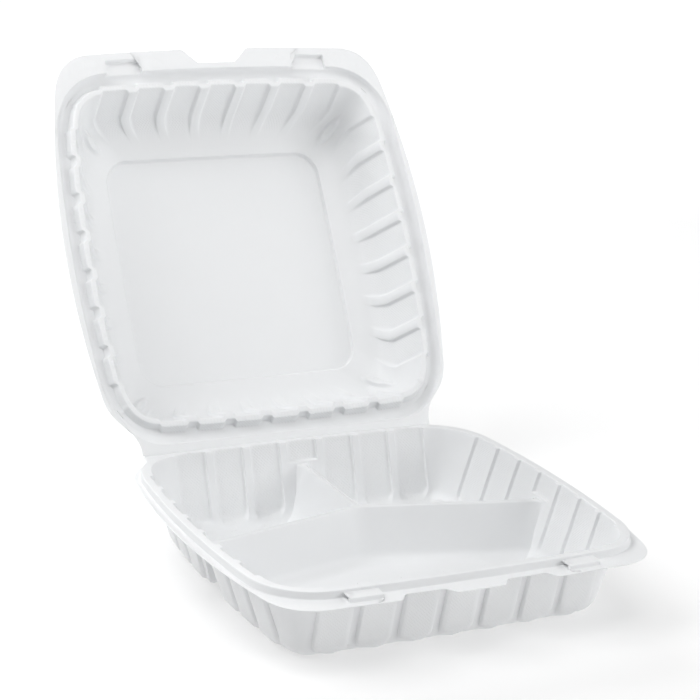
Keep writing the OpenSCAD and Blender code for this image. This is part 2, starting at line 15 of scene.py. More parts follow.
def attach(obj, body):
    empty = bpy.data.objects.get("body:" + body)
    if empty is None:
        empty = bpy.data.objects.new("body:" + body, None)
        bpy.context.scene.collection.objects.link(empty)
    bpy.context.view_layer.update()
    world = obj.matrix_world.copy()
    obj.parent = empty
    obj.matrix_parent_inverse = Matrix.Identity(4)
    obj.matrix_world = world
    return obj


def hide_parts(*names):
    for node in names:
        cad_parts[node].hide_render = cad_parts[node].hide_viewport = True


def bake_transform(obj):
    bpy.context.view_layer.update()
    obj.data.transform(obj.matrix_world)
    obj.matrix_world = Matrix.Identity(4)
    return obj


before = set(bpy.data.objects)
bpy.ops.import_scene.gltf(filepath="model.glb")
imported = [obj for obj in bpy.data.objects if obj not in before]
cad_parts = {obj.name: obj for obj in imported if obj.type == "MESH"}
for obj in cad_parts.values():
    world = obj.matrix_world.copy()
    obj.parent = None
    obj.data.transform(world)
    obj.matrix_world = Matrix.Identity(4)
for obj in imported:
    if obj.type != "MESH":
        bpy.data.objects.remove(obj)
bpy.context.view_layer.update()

MM = 0.001

# Sizes of the base
BASE_T = 0.6
MOUTH_W, MOUTH_FRONT, MOUTH_BACK = 209.0, 107.2, 109.2
SIDE_BOW, FRONT_BOW, BOW_REF = 7.0, 3.5, 105.0
FLANGE_H, RIM_H, LAND_W, SKIRT_RUN = 38.5, 4.0, 3.8, 1.8
FLANGE_SIDE, FLANGE_FRONT, FLANGE_BOW, FLANGE_R = 3.9, 10.9, 10.7, 23.0
LIP_W, LIP_X, RECESS_W, RECESS_D, RECESS_RUN = 24.2, -1.2, 30.8, 6.3, 5.6
DRAFT = radians(18)
FLOOR_R, RIDGE_DROP, RIDGE_W, RIDGE_CROWN, RIDGE_EDGE = 9.0, 8.5, 2.6, 0.5, 1.2
JUNCTION = np.array([0.0, 26.0])
JUNCTION_R, FLARE_L, LEDGE_UP, WALL_SPREAD = 6.0, 6.0, 1.4, 0.45
TABS_X, TAB_W, TAB_OUT, TAB_H, TAB_RUN = (-59.8, 58.4), 17.4, 7.5, 2.4, 0.5

# Sizes of the flutes: spacing, and face and flank widths in the base and the lid
PITCH, SIDE_PITCH, FLUTE_D = 22.6, 23.1, 2.0
BASE_FACE, BASE_FLANK = 16.6, 1.0
LID_FACE, LID_FLANK = 14.4, 1.7

# Sizes of the hinge and the lid
LID_T = 0.5
HINGE_W, HINGE_GAP, HINGE_REACH, EAR = 180.0, 0.2, 6.95, 36.0
LID_OPEN = radians(121.5)
COVER_GAP, CHANNEL_GAP, CHANNEL_RUN, PLUG_GAP, PLUG_UP, PLUG_W, PLUG_RUN = 0.6, 2.2, 1.6, 0.6, 0.6, 3.2, 1.9
LID_SIDE, LID_FRONT, NOTCH_D, NOTCH_W, NOTCH_RUN = 0.7, 2.5, 9.0, 23.8, 8.9
TAB_GAP, POCKETS_X, POCKET_W, POCKET_UP = 1.1, (-60.4, 58.9), 20.8, 3.1
DOME_H, SHOULDER_H, DOME_DRAFT = 44.7, 24.0, radians(17)
PANEL_W, PANEL_D, PANEL_STEP, PANEL_R = 141.0, 145.0, 2.9, 15.0

RIM_Z = FLANGE_H + RIM_H
RIDGE_Z = FLANGE_H - RIDGE_DROP
SKIRT_O = LAND_W + SKIRT_RUN
RIDGE_O = -(RIM_Z - RIDGE_Z) * tan(DRAFT)
HINGE_Y = MOUTH_BACK + SKIRT_O + HINGE_REACH
HINGE_Z = FLANGE_H + HINGE_GAP
LID_Z = FLANGE_H + 2 * HINGE_GAP
CHANNEL_Z = RIM_Z + CHANNEL_GAP
LEDGE_Z = LID_Z + PLUG_UP
PLUG_O = -(RIM_Z - LEDGE_Z) * tan(DRAFT) - PLUG_GAP
DOME_O = PLUG_O - PLUG_W
DOME_TOP = LID_Z + DOME_H
SHOULDER_Z = LID_Z + SHOULDER_H
FLUTE_END = 3 * PITCH + BASE_FACE / 2 + BASE_FLANK
SIDES = range(4)
NO_FLUTE = 1000.0


# Outlines
class Outline:
    """Reach of each side from the middle, its bow, and how far it runs either way before its corners."""

    def __init__(self, reach, bow, start, stop):
        self.reach, self.bow, self.start, self.stop = (np.array(v, float) for v in (reach, bow, start, stop))

    def grown(self, by, pull=1.0):
        return Outline(self.reach + by, self.bow, self.start * pull, self.stop * pull)

    def mixed(self, other, f):
        pairs = ((self.reach, other.reach), (self.bow, other.bow), (self.start, other.start), (self.stop, other.stop))
        return Outline(*(a * (1 - f) + b * f for a, b in pairs))

    def out_at(self, side, s):
        return self.reach[side] - self.bow[side] * (s / BOW_REF) ** 2

    def slope_at(self, side, s):
        return along(side) - outward(side) * 2 * self.bow[side] * s / BOW_REF ** 2


def plan(side, s, out):
    """The point in plan at place s along a side and distance out from the middle."""
    x, y = ((s, -out), (out, s), (-s, out), (-out, -s))[side]
    return np.stack(np.broadcast_arrays(np.asarray(x, float), np.asarray(y, float)), -1)


def along(side):
    return plan(side, 1.0, 0.0)


def outward(side):
    return plan(side, 0.0, 1.0)


def ease(t):
    t = np.clip(t, 0.0, 1.0)
    return t * t * (3 - 2 * t)


def hump(s, middle, half, run):
    """One inside half of the middle, falling smoothly to nought over run."""
    return ease((half + run - np.abs(np.asarray(s, float) - middle)) / run)


SIDE_STRETCH = SIDE_PITCH / PITCH
ENDS = FLUTE_END * np.array([1, SIDE_STRETCH, 1, SIDE_STRETCH])
MOUTH = Outline([MOUTH_FRONT, MOUTH_W / 2, MOUTH_BACK, MOUTH_W / 2], [FRONT_BOW, SIDE_BOW, FRONT_BOW, SIDE_BOW], -ENDS, ENDS)
RIM_PULL = 0.95


def flange(side_extra=0.0, front_extra=0.0):
    half = MOUTH_W / 2 + SKIRT_O + FLANGE_SIDE + side_extra
    front = MOUTH_FRONT + SKIRT_O + FLANGE_FRONT + front_extra
    back = HINGE_Y - HINGE_GAP
    w, d = half - FLANGE_BOW - FLANGE_R, front - FRONT_BOW - FLANGE_R
    return Outline([front, half, back, half], [FRONT_BOW, FLANGE_BOW, 0, FLANGE_BOW],
                   [-w, -d, -HINGE_W / 2, -(back - EAR)], [w, back - EAR, HINGE_W / 2, d])


# Rings
class Loom:
    """Places of the points that every ring of one shell shares, from the front round to the left side."""

    def __init__(self, face, flank, extra, corner_n):
        half = face / 2
        steps = [half + flank, half + 0.78 * flank, half + 0.5 * flank, half + 0.22 * flank, half - 0.4, half - 2.0]
        flute = sorted([-v for v in steps] + [0.0] + steps)
        self.foot = half + flank
        plain = [k * PITCH + v for k in range(-3, 4) for v in flute] + [(k + 0.5) * PITCH for k in range(-3, 3)]
        self.q = []
        for side in SIDES:
            places = sorted(plain + (extra if side == 0 else [-half / 2, half / 2]))
            kept = [places[0]]
            for s in places[1:]:
                if s - kept[-1] > 0.16:
                    kept.append(s)
            end = 3 * PITCH + self.foot
            kept[-1] = end
            self.q.append(np.array(kept) / end)
        self.end = end
        self.corner_n = corner_n
        f = (np.arange(corner_n) + 1) / (corner_n + 1)
        self.cubic = np.stack([(1 - f) ** 3, 3 * f * (1 - f) ** 2, 3 * f * f * (1 - f), f ** 3], -1)
        self.side_from, n = [], 0
        for side in SIDES:
            self.side_from.append(n)
            n += len(self.q[side]) + corner_n
        self.n = n
        gap = np.full(corner_n, NO_FLUTE)
        self.along = np.concatenate([np.concatenate([self.q[s] * self.end, gap]) for s in SIDES])
        self.side = np.concatenate([np.full(len(self.q[s]) + corner_n, s) for s in SIDES])
        self.out = np.array([outward(s) for s in self.side]).reshape(-1, 2)

    def middle(self, side, half):
        """First and last point, counted round the ring, within half of the middle of a side."""
        q = self.q[side] * self.end
        inside = np.flatnonzero(np.abs(q) <= half + 1e-6)
        return self.side_from[side] + inside[0], self.side_from[side] + inside[-1]

    def ring(self, outline, push=None, ear=False, place=None, back=None, pull=0.52):
        """Plan points of one ring; push and back are extra reaches for the front and the back of it."""
        ends, rows = [], []
        for side in SIDES:
            s = outline.start[side] + (outline.stop[side] - outline.start[side]) * (self.q[side] + 1) / 2
            if place is not None:
                s = place(side, s)
            out = outline.out_at(side, s)
            if push is not None and side == 0:
                out = out + push(s)
            if back is not None and side == 2:
                out = out + back(s)
            rows.append(plan(side, s, out))
            ends.append(s)
        parts = []
        for side in SIDES:
            after = (side + 1) % 4
            p1, p2 = rows[side][-1], rows[after][0]
            t1 = -outward(2) if ear and side == 2 else outline.slope_at(side, ends[side][-1])
            t2 = outward(2) if ear and after == 2 else outline.slope_at(after, ends[after][0])
            a = p1 + t1 * pull * abs((p2 - p1) @ t1) / (t1 @ t1)
            b = p2 - t2 * pull * abs((p2 - p1) @ t2) / (t2 @ t2)
            parts += [rows[side], self.cubic @ np.stack([p1, a, b, p2])]
        return np.concatenate(parts)


class Shell:
    """One face of a sheet while it is drawn, with what the flutes have to know at each point."""

    def __init__(self, loom):
        self.loom = loom
        self.rows, self.faces, self.n = [], [], 0

    def add(self, xy, z, deep=0.0, where=None, narrow=0.0):
        """Adds points. where gives their places on the loom; points off the loom have no flutes."""
        xy = np.atleast_2d(xy)
        n = len(xy)
        flute = np.zeros((n, 8))
        flute[:, :2], flute[:, 2] = xy, z
        if where is None:
            flute[:, 3] = NO_FLUTE
        else:
            flute[:, 3] = self.loom.along[where]
            flute[:, 5:7] = self.loom.out[where]
        flute[:, 4], flute[:, 7] = deep, narrow
        self.rows.append(flute)
        self.n += n
        return list(range(self.n - n, self.n))

    def ring(self, xy, z, deep=0.0, narrow=0.0):
        return self.add(xy, z, deep, np.arange(self.loom.n), narrow)

    def band(self, a, b, closed=True):
        """Joins two rows of as many points; b lies on the left hand of a."""
        for j in range(len(a) if closed else len(a) - 1):
            k = (j + 1) % len(a)
            self.faces.append((a[j], a[k], b[k], b[j]))

    def zip(self, a, b):
        """Joins two open rows of different numbers of points, b on the left hand of a."""
        i = j = 0
        while i < len(a) - 1 or j < len(b) - 1:
            if j == len(b) - 1 or (i < len(a) - 1 and (i + 1) * (len(b) - 1) <= (j + 1) * (len(a) - 1)):
                self.faces.append((a[i], a[i + 1], b[j]))
                i += 1
            else:
                self.faces.append((a[i], b[j + 1], b[j]))
                j += 1

    def fan(self, a, c):
        for j in range(len(a)):
            self.faces.append((a[j], a[(j + 1) % len(a)], c))

    def mesh(self, name, flip=False):
        data = np.concatenate(self.rows)
        faces = [f[::-1] for f in self.faces] if flip else self.faces
        made = bpy.data.meshes.new(name)
        made.from_pydata((data[:, :3] * MM).tolist(), [], faces)
        for label, column in (("along", 3), ("deep", 4), ("narrow", 7)):
            layer = made.attributes.new(label, "FLOAT", "POINT")
            layer.data.foreach_set("value", (data[:, column] * MM).astype(np.float32))
        layer = made.attributes.new("outward", "FLOAT_VECTOR", "POINT")
        out = np.zeros((len(data), 3), np.float32)
        out[:, :2] = data[:, 5:7]
        layer.data.foreach_set("vector", out.ravel())
        wall = made.uv_layers.new(name="Wall")
        corner = np.empty(len(made.loops), np.int32)
        made.loops.foreach_get("vertex_index", corner)
        uv = np.stack([np.where(data[:, 3] > 500, 0, data[:, 3]), data[:, 2]], -1)[corner] * 0.01
        wall.data.foreach_set("uv", uv.astype(np.float32).ravel())
        return made


# Base
def tab_push(s):
    return sum(hump(s, x, TAB_W / 2, TAB_RUN) for x in TABS_X)


def recess_push(s):
    half = RECESS_W / 2 - RECESS_RUN
    left, right = LIP_X - LIP_W / 2 - RECESS_W / 2, LIP_X + LIP_W / 2 + RECESS_W / 2
    return -RECESS_D * (hump(s, left, half, RECESS_RUN) + hump(s, right, half, RECESS_RUN))


def edge_places(centre, half, run, steps, scale):
    """Places of extra points over both flanks of a feature; scale is how far the outline stretches the loom."""
    t = np.linspace(-0.1, 1.1, steps + 1)
    return [(centre + sign * (half + run * v)) / scale for sign in (-1, 1) for v in t]


base_extra = []
for sign, tab in zip((-1, 1), TABS_X):
    base_extra += edge_places(tab, TAB_W / 2, TAB_RUN, 3, RIM_PULL)
    base_extra += edge_places(LIP_X + sign * (LIP_W / 2 + RECESS_W / 2), RECESS_W / 2 - RECESS_RUN, RECESS_RUN, 7,
                              flange().stop[0] / FLUTE_END)
base_loom = Loom(BASE_FACE, BASE_FLANK, base_extra, 30)
DIVIDER_END = BASE_FACE / 4

# Dividers: arm 1 runs right, arm 2 back and arm 3 left from the junction
arm_foot = {m: plan(m, 0.0, MOUTH.reach[m] + RIDGE_O - FLUTE_D) for m in (1, 2, 3)}
arm_len = {m: np.linalg.norm(arm_foot[m] - JUNCTION) for m in (1, 2, 3)}
arm_dir = {m: (arm_foot[m] - JUNCTION) / arm_len[m] for m in (1, 2, 3)}
arm_left = {m: np.array([-arm_dir[m][1], arm_dir[m][0]]) for m in (1, 2, 3)}
ARM_F = np.array([0.004, 0.015, 0.03, 0.045, 0.06, 0.08, 0.1, 0.12, 0.15, 0.19, 0.24, 0.31, 0.4, 0.5, 0.6, 0.7, 0.8, 0.88, 0.95, 1.0])
NOOK_F = np.linspace(0, 1, 9)[1:-1]


def half_angle(a, b):
    return acos(arm_dir[a] @ arm_dir[b]) / 2


def divider_width(inset):
    return RIDGE_W / 2 + inset


def divider_foot(inset):
    """Half width of a divider where it meets its wall."""
    return max(DIVIDER_END + WALL_SPREAD * max(inset, 0.0), divider_width(inset))


def arm_end(a, b, inset):
    return divider_width(inset) / tan(half_angle(a, b)) + JUNCTION_R


def edge_reach(m, hand, inset):
    """How far along its arm an edge runs before it meets the wall."""
    aside = hand * divider_foot(inset) * (arm_left[m] @ outward(m))
    return arm_len[m] - (max(0.0, inset) + aside) / (arm_dir[m] @ outward(m))


def edge_place(m, hand, inset):
    """Place along side m where an edge of its arm meets the wall."""
    end = JUNCTION + edge_reach(m, hand, inset) * arm_dir[m] + hand * divider_foot(inset) * arm_left[m]
    return end @ along(m)


def arm_edge(m, hand, inset):
    """Points along one edge of an arm, from its wall to the junction."""
    a, b = (m, m % 3 + 1) if hand > 0 else ((m + 1) % 3 + 1, m)
    end = arm_end(a, b, inset)
    reach = edge_reach(m, hand, inset)
    r = end + (1 - ARM_F) * (reach - end)
    close = np.clip(1 - (reach - r) / FLARE_L, 0, 1)
    w = divider_width(inset) + max(0.0, divider_foot(inset) - divider_width(inset)) * close ** 2
    return JUNCTION + r[:, None] * arm_dir[m] + (hand * w)[:, None] * arm_left[m]


def nook(a, b, inset):
    """The rounded corner of a compartment at the junction, from arm b to arm a."""
    w, end = divider_width(inset), arm_end(a, b, inset)
    s = JUNCTION + arm_dir[a] * end + arm_left[a] * w
    x = JUNCTION + arm_dir[a] * (end - JUNCTION_R) + arm_left[a] * w
    p = JUNCTION + arm_dir[b] * end - arm_left[b] * w
    f = NOOK_F[:, None]
    return p * (1 - f) ** 2 + x * 2 * f * (1 - f) + s * f * f


def base_shell():
    shell = Shell(base_loom)
    loom = base_loom
    edge = loom.ring(flange(), recess_push, ear=True)
    foot = loom.ring(MOUTH.grown(SKIRT_O + 0.7, RIM_PULL), lambda s: TAB_OUT * tab_push(s))
    rings = []
    for f, z in ((0.0, -0.25), (0.04, -0.06), (0.1, 0.0), (0.3, 0.0), (0.55, 0.0), (0.8, 0.0), (1.0, 0.0)):
        rings.append(shell.ring(edge * (1 - f) + foot * f, FLANGE_H + z))

    # Skirt with the latch tabs: offset from the mouth, height and how much of the tab stands there
    tab_z = FLANGE_H + TAB_H
    rows = [(5.6, FLANGE_H + 0.03, 1.0), (5.22, FLANGE_H + 0.14, 1.0), (5.02, FLANGE_H + 0.42, 1.0),
            (4.94, FLANGE_H + 0.9, 1.0), (4.72, tab_z - 0.5, 1.0), (4.66, tab_z - 0.22, 0.995),
            (4.62, tab_z - 0.05, 0.97), (4.6, tab_z, 0.93), (4.6, tab_z + 0.01, 0.5), (4.6, tab_z + 0.02, 0.03),
            (4.56, tab_z + 0.22, 0.0), (4.44, RIM_Z - 0.6, 0.0), (4.38, RIM_Z - 0.32, 0.0),
            (4.22, RIM_Z - 0.09, 0.0), (3.9, RIM_Z, 0.0)]
    for o, z, tab in rows:
        rings.append(shell.ring(loom.ring(MOUTH.grown(o, RIM_PULL), lambda s: TAB_OUT * tab * tab_push(s)), z))

    # Land, and the fluted wall down to the top of the dividers; a flute over a divider ends in a ledge
    inner = [(1.0, RIM_Z, 0.0), (0.5, RIM_Z - 0.02, 0.8), (0.15, RIM_Z - 0.14, 1.0), (-0.1, RIM_Z - 0.45, 1.0)]
    ledge = RIDGE_Z + LEDGE_UP
    for z in (41.2, 39.5, 37.0, 34.8, 33.4, 32.6, ledge + 0.35, ledge + 0.1, ledge - 0.1, ledge - 0.3, RIDGE_Z + 0.5, RIDGE_Z):
        inner.append((-(RIM_Z - z) * tan(DRAFT), z, 1.0))
    over_divider = (loom.side > 0) & (np.abs(loom.along) <= loom.foot + 1e-6)
    for o, z, part in inner:
        deep = np.full(loom.n, FLUTE_D * part)
        deep[over_divider] *= ease((z - ledge + 0.15) / 0.3)
        rings.append(shell.ring(loom.ring(MOUTH.grown(o - FLUTE_D * part)), z, deep))
    for a, b in zip(rings[:-1], rings[1:]):
        shell.band(a, b)
    waist = rings[-1]

    # Levels of a compartment: inset and height along the walls and along the dividers
    beta = np.radians([0, 18, 36, 54, 72])
    edge_t = RIDGE_EDGE * tan((pi / 2 - DRAFT) / 2)
    arm_levels = [(RIDGE_EDGE * sin(b) - edge_t, RIDGE_Z - RIDGE_EDGE * (1 - cos(b))) for b in beta]
    low = arm_levels[-1][1]
    wall_levels = [((RIDGE_Z - z) * tan(DRAFT), z) for z in np.linspace(RIDGE_Z, low, 5)]
    corner = (RIDGE_Z - BASE_T) * tan(DRAFT) + FLOOR_R * tan((pi / 2 - DRAFT) / 2)
    arc = [(corner - FLOOR_R * cos(a), BASE_T + FLOOR_R * (1 - sin(a))) for a in np.linspace(DRAFT, pi / 2, 9)]
    down = [((RIDGE_Z - z) * tan(DRAFT), z) for z in (28.0, 26.0, 23.0, 20.0, 17.0, 14.0, 11.0, 9.0)]
    arm_levels += down + arc
    wall_levels += down + arc
    pits = {}
    tops = {}
    for c, (a, b) in enumerate(((3, 1), (1, 2), (2, 3))):
        first = loom.middle(a, DIVIDER_END)[1]
        last = loom.middle(b, DIVIDER_END)[0]
        ids = np.arange(first, last + (loom.n if last < first else 0) + 1) % loom.n
        loops = []
        for level, ((wi, wz), (ai, az)) in enumerate(zip(wall_levels, arm_levels)):
            round_off = float(1 - ease((wz - BASE_T) / (0.95 * FLOOR_R)))

            def place(side, s):
                if side == 0:
                    return s
                stretch = 1 if side == 2 else SIDE_STRETCH
                end, foot, tip = MOUTH.stop[side], loom.foot * stretch, DIVIDER_END * stretch
                w = np.where(s > 0, edge_place(side, 1, wi), -edge_place(side, -1, wi))
                beside = np.maximum(foot, w + 0.8)
                far = beside + (np.abs(s) - foot) * (end - beside) / (end - foot)
                near = w + (np.abs(s) - tip) * (beside - w) / (foot - tip)
                return np.sign(s) * np.where(np.abs(s) > foot, far, near)
            wall = loom.ring(MOUTH.grown(RIDGE_O - wi - FLUTE_D, 1 - 0.04 * round_off), place=place)[ids]
            deep = FLUTE_D * ~over_divider[ids]
            wall_ids = [waist[i] for i in ids] if level == 0 else shell.add(wall, wz, deep, ids, 5.5 * round_off ** 2)
            before = shell.add(arm_edge(b, -1, ai), az)
            bend = shell.add(nook(a, b, ai), az)
            after = shell.add(arm_edge(a, 1, ai)[::-1], az)
            loops.append(wall_ids + before + bend + after)
            if level == 0:
                tops[(b, -1)], tops[(a, 1)], tops[("nook", c)] = before, after[::-1], bend
        for upper, lower in zip(loops[:-1], loops[1:]):
            shell.band(upper, lower)
        pits[c] = loops[-1]

    # Rounded tops of the dividers and the hub where they meet
    rows_of = {}
    for m in (1, 2, 3):
        right, left = tops[(m, -1)], tops[(m, 1)]
        data = np.concatenate(shell.rows)
        r, l = data[right][:, :2], data[left][:, :2]
        lines = [right]
        for f in (0.25, 0.5, 0.75):
            wide = np.linalg.norm(l - r, axis=1)
            crown = RIDGE_CROWN * 4 * f * (1 - f) * np.minimum(1, 1.6 / wide + 0.35)
            lines.append(shell.add(r * (1 - f) + l * f, RIDGE_Z + crown))
        lines.append(left)
        for a, b in zip(lines[:-1], lines[1:]):
            shell.band(b, a, closed=False)
        first, last = loom.middle(m, DIVIDER_END)
        shell.zip([waist[i] for i in range(first, last + 1)], [line[0] for line in lines])
        rows_of[m] = [line[-1] for line in lines]
    hub = shell.add(JUNCTION, RIDGE_Z + RIDGE_CROWN)[0]
    around = []
    for c, (a, b) in enumerate(((3, 1), (1, 2), (2, 3))):
        around += tops[("nook", c)][::-1] + rows_of[b]
    shell.fan(around, hub)

    # Floors
    for loop in pits.values():
        data = np.concatenate(shell.rows)
        rim = data[loop][:, :2]
        middle = (rim.max(axis=0) + rim.min(axis=0)) / 2
        before = loop
        for f in (0.97, 0.9, 0.78, 0.6, 0.4, 0.18):
            row = shell.add(middle + (rim - middle) * f, BASE_T)
            shell.band(before, row)
            before = row
        shell.fan(before, shell.add(middle, BASE_T)[0])
    return shell


# Lid, drawn closed
def pocket_push(s):
    return sum(hump(s, x, POCKET_W / 2, TAB_RUN) for x in POCKETS_X)


def notch_push(s):
    return -NOTCH_D * np.clip((NOTCH_W / 2 + NOTCH_RUN - np.abs(s - LIP_X)) / NOTCH_RUN, 0, 1)


def hinge_step(s):
    """The channel runs nearer to the hinge, and straight, over the middle of the back."""
    straight = FRONT_BOW * RIM_PULL * (s / BOW_REF) ** 2 + 0.9
    return straight * hump(s, 0.0, 73.0, 3.5)


lid_end = 3 * PITCH + LID_FACE / 2 + LID_FLANK
lid_extra = edge_places(LIP_X, NOTCH_W / 2, NOTCH_RUN, 8, flange(LID_SIDE).stop[0] / lid_end)
for tab in POCKETS_X:
    lid_extra += edge_places(tab, POCKET_W / 2, TAB_RUN, 3, RIM_PULL * FLUTE_END / lid_end)
lid_loom = Loom(LID_FACE, LID_FLANK, lid_extra, 30)


def lid_shell():
    loom = lid_loom
    shell = Shell(loom)
    pocket = TAB_OUT + TAB_GAP - COVER_GAP
    outer = SKIRT_O + COVER_GAP
    edge = loom.ring(flange(LID_SIDE, LID_FRONT), notch_push, ear=True)
    foot = loom.ring(MOUTH.grown(outer + 0.8, RIM_PULL), lambda s: pocket * pocket_push(s), back=hinge_step)
    rings = []
    for f, z in ((0.0, 0.2), (0.04, 0.05), (0.1, 0.0), (0.3, 0.0), (0.55, 0.0), (0.8, 0.0), (1.0, 0.0)):
        rings.append(shell.ring(edge * (1 - f) + foot * f, LID_Z + z))
    pocket_z = LID_Z + POCKET_UP
    rows = [(outer + 0.35, LID_Z + 0.06, 1.0), (outer + 0.08, LID_Z + 0.3, 1.0), (outer - 0.05, LID_Z + 0.9, 1.0),
            (outer - 0.25, pocket_z - 0.7, 1.0), (outer - 0.35, pocket_z - 0.28, 0.98), (outer - 0.42, pocket_z - 0.05, 0.94),
            (outer - 0.45, pocket_z, 0.88), (outer - 0.46, pocket_z + 0.02, 0.45), (outer - 0.5, pocket_z + 0.05, 0.06),
            (outer - 0.6, pocket_z + 0.4, 0.0), (outer - 0.85, pocket_z + 0.95, 0.0), (outer - 1.3, pocket_z + 1.6, 0.0),
            (outer - 2.0, pocket_z + 2.25, 0.0), (outer - 2.9, CHANNEL_Z - 0.12, 0.0), (outer - 3.8, CHANNEL_Z, 0.0)]
    for o, z, part in rows:
        step = hinge_step if z < CHANNEL_Z - 0.5 else None
        xy = loom.ring(MOUTH.grown(o, RIM_PULL), lambda s: pocket * part * pocket_push(s), back=step)
        rings.append(shell.ring(xy, z))
    wall_o = PLUG_O + PLUG_RUN
    inner = [(wall_o + 1.3, CHANNEL_Z, 0.0), (wall_o + 0.7, CHANNEL_Z - 0.03, 0.6), (wall_o + 0.2, CHANNEL_Z - 0.2, 1.0),
             (wall_o - 0.2, CHANNEL_Z - 0.8, 1.0), (wall_o - 0.85, CHANNEL_Z - 2.5, 1.0), (PLUG_O + 0.3, LEDGE_Z + 0.9, 1.0),
             (PLUG_O + 0.08, LEDGE_Z + 0.32, 1.0), (PLUG_O - 0.2, LEDGE_Z + 0.05, 1.0), (PLUG_O - 0.7, LEDGE_Z, 1.0),
             (DOME_O + 0.9, LEDGE_Z, 1.0), (DOME_O + 0.3, LEDGE_Z + 0.07, 1.0), (DOME_O - 0.1, LEDGE_Z + 0.45, 1.0)]
    for z in (41.2, 43.0, 46.0, 49.0, 52.0, 55.0, 58.0, 60.5, SHOULDER_Z):
        inner.append((DOME_O - (z - LEDGE_Z) * tan(DOME_DRAFT), z, 1.0))
    for o, z, part in inner:
        rings.append(shell.ring(loom.ring(MOUTH.grown(o - FLUTE_D * part)), z, FLUTE_D * part))

    # Shoulder: a cubic curve from the dome wall, at its draft, into the flat crown round the top panel
    shoulder_o = DOME_O - (SHOULDER_Z - LEDGE_Z) * tan(DOME_DRAFT)
    w, d = PANEL_W / 2 - PANEL_R, PANEL_D / 2 - PANEL_R
    panel = Outline([PANEL_D / 2, PANEL_W / 2, PANEL_D / 2, PANEL_W / 2], [1, 2, 1, 2], [-w, -d, -w, -d], [w, d, w, d])
    shoulder = MOUTH.grown(shoulder_o)
    crown_z = DOME_TOP - PANEL_STEP
    run, rise = MOUTH_W / 2 + shoulder_o - PANEL_W / 2, crown_z - SHOULDER_Z
    up = 0.72 * rise
    for f in (0.05, 0.1, 0.15, 0.2, 0.25, 0.3, 0.36, 0.43, 0.5, 0.58, 0.66, 0.74, 0.82, 0.9, 0.96, 1.0):
        g = 1 - f
        blend = 3 * g * g * f * up * tan(DOME_DRAFT) / run + 3 * g * f * f * 0.62 + f ** 3
        z = SHOULDER_Z + 3 * g * g * f * up + 3 * g * f * f * 0.86 * rise + f ** 3 * rise
        part = float(1 - ease((f - 0.12) / 0.5))
        rings.append(shell.ring(loom.ring(shoulder.mixed(panel, blend).grown(-FLUTE_D * part)), z, FLUTE_D * part))
    for inset, rise in ((0.25, 0.03), (0.45, 0.14), (0.7, 0.4), (0.95, 0.72), (1.2, 0.92), (1.5, 0.99), (2.1, 1.0)):
        rings.append(shell.ring(loom.ring(panel.grown(-inset)), crown_z + PANEL_STEP * rise))
    rim = loom.ring(panel.grown(-2.1))
    for f in (0.9, 0.75, 0.55, 0.32, 0.12):
        rings.append(shell.ring(rim * f, DOME_TOP))
    for a, b in zip(rings[:-1], rings[1:]):
        shell.band(a, b)
    shell.fan(rings[-1], shell.add([[0.0, 0.0]], DOME_TOP)[0])
    return shell


# Flutes, by Geometry Nodes
class Tree:
    """Adds nodes to a node tree: a node's type, its settings, then the values or links of its sockets."""

    def __init__(self, tree):
        self.tree = tree

    def node(self, kind, settings=None, **sockets):
        made = self.tree.nodes.new(kind)
        for name, value in (settings or {}).items():
            setattr(made, name, value)
        for name, value in sockets.items():
            socket = made.inputs[int(name[1:])] if name[1:].isdigit() else made.inputs[name.replace("_", " ")]
            if isinstance(value, Wire):
                self.tree.links.new(value.socket, socket)
            elif isinstance(value, bpy.types.NodeSocket):
                self.tree.links.new(value, socket)
            else:
                socket.default_value = value
        return made

    def wire(self, socket):
        return Wire(self, socket)


class Wire:
    """A number that flows between nodes; an expression on wires adds the Math nodes it needs."""

    def __init__(self, tree, socket):
        self.tree, self.socket = tree, socket

    def math(self, operation, *others, **settings):
        made = self.tree.node("ShaderNodeMath", dict(operation=operation, **settings),
                              **{f"i{n}": v for n, v in enumerate([self, *others])})
        return Wire(self.tree, made.outputs[0])

    def __add__(self, other):
        return self.math("ADD", other)

    def __sub__(self, other):
        return self.math("SUBTRACT", other)

    def __mul__(self, other):
        return self.math("MULTIPLY", other)

    def __truediv__(self, other):
        return self.math("DIVIDE", other)

    def __neg__(self):
        return self.math("MULTIPLY", -1.0)

    def __rsub__(self, other):
        return -self + other

    __radd__, __rmul__ = __add__, __mul__

    def abs(self):
        return self.math("ABSOLUTE")

    def clamp(self):
        return self.math("ADD", 0.0, use_clamp=True)

    def least(self, other):
        return self.math("MINIMUM", other)

    def most(self, other):
        return self.math("MAXIMUM", other)


